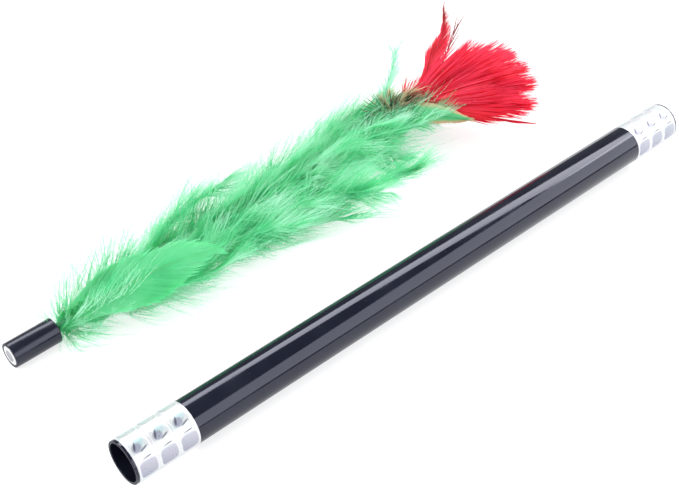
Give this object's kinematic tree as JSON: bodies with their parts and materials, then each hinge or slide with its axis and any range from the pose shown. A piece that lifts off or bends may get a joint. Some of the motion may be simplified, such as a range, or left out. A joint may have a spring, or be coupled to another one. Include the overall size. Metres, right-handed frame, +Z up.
{
  "type": "magic wand",
  "caption": "Black tube wand with foil-banded ends, closed at one end, and a feather flower on a magnetic slug that plugs into its open mouth.",
  "frame": {"origin": "centre of the wand's open mouth", "axes": "+X along the wand's axis from the mouth to the closed end, +Z up from the floor that the wand and the flower lie on, +Y from the wand to the flower"},
  "size_m": [0.3465, 0.1391, 0.047],
  "materials": {
    "black_tube": "gloss black extruded plastic",
    "black_plug": "gloss black moulded plastic",
    "black_sleeve": "satin black extruded plastic",
    "foil_tape": "embossed prismatic silver foil tape",
    "steel": "plain steel disc",
    "magnet_plating": "bright nickel plating",
    "glue_core": "set glue",
    "stem_wire": "thin steel wire",
    "green_thread": "fine twisted thread",
    "green_feather": "dyed soft feather",
    "natural_feather": "undyed brown and beige feather",
    "red_feather": "dyed smooth feather"
  },
  "bodies": {
    "wand": {"wand_tube": "black_tube", "near_foil_band": "foil_tape", "far_foil_band": "foil_tape", "end_plug": "black_plug", "catch_disc": "steel"},
    "flower": {"slug_sleeve": "black_sleeve", "slug_magnet": "magnet_plating", "slug_core": "glue_core", "stem": "stem_wire", "thread_bindings": "green_thread", "green_feather_1a": "green_feather", "green_feather_1b": "green_feather", "green_feather_1c": "green_feather", "green_feather_2a": "green_feather", "green_feather_2b": "green_feather", "green_feather_2c": "green_feather", "green_feather_3a": "green_feather", "green_feather_3b": "green_feather", "green_feather_3c": "green_feather", "green_feather_4a": "green_feather", "green_feather_4b": "green_feather", "green_feather_4c": "green_feather", "green_feather_5a": "green_feather", "green_feather_5b": "green_feather", "green_feather_5c": "green_feather", "green_feather_6a": "green_feather", "green_feather_6b": "green_feather", "green_feather_6c": "green_feather", "green_feather_7a": "green_feather", "green_feather_7b": "green_feather", "green_feather_7c": "green_feather", "green_feather_8a": "green_feather", "green_feather_8b": "green_feather", "green_feather_8c": "green_feather", "green_feather_9a": "green_feather", "green_feather_9b": "green_feather", "green_feather_9c": "green_feather", "natural_hackle_a": "natural_feather", "natural_hackle_b": "natural_feather", "natural_hackle_c": "natural_feather", "red_petal_upper": "red_feather", "red_petal_upper_rear": "red_feather", "red_petal_fan_a": "red_feather", "red_petal_fan_b": "red_feather", "red_petal_fan_c": "red_feather", "red_petal_fan_d": "red_feather", "red_petal_spike": "red_feather"}
  },
  "joints": [
    {"name": "flower_turn", "type": "hinge", "parent": "wand", "child": "flower", "pos_m": [0.00994, 0.0424, -0.00209], "axis": [-0.0007, 0.0495, 0.9988], "range_deg": [0, 178.4]}
  ]
}
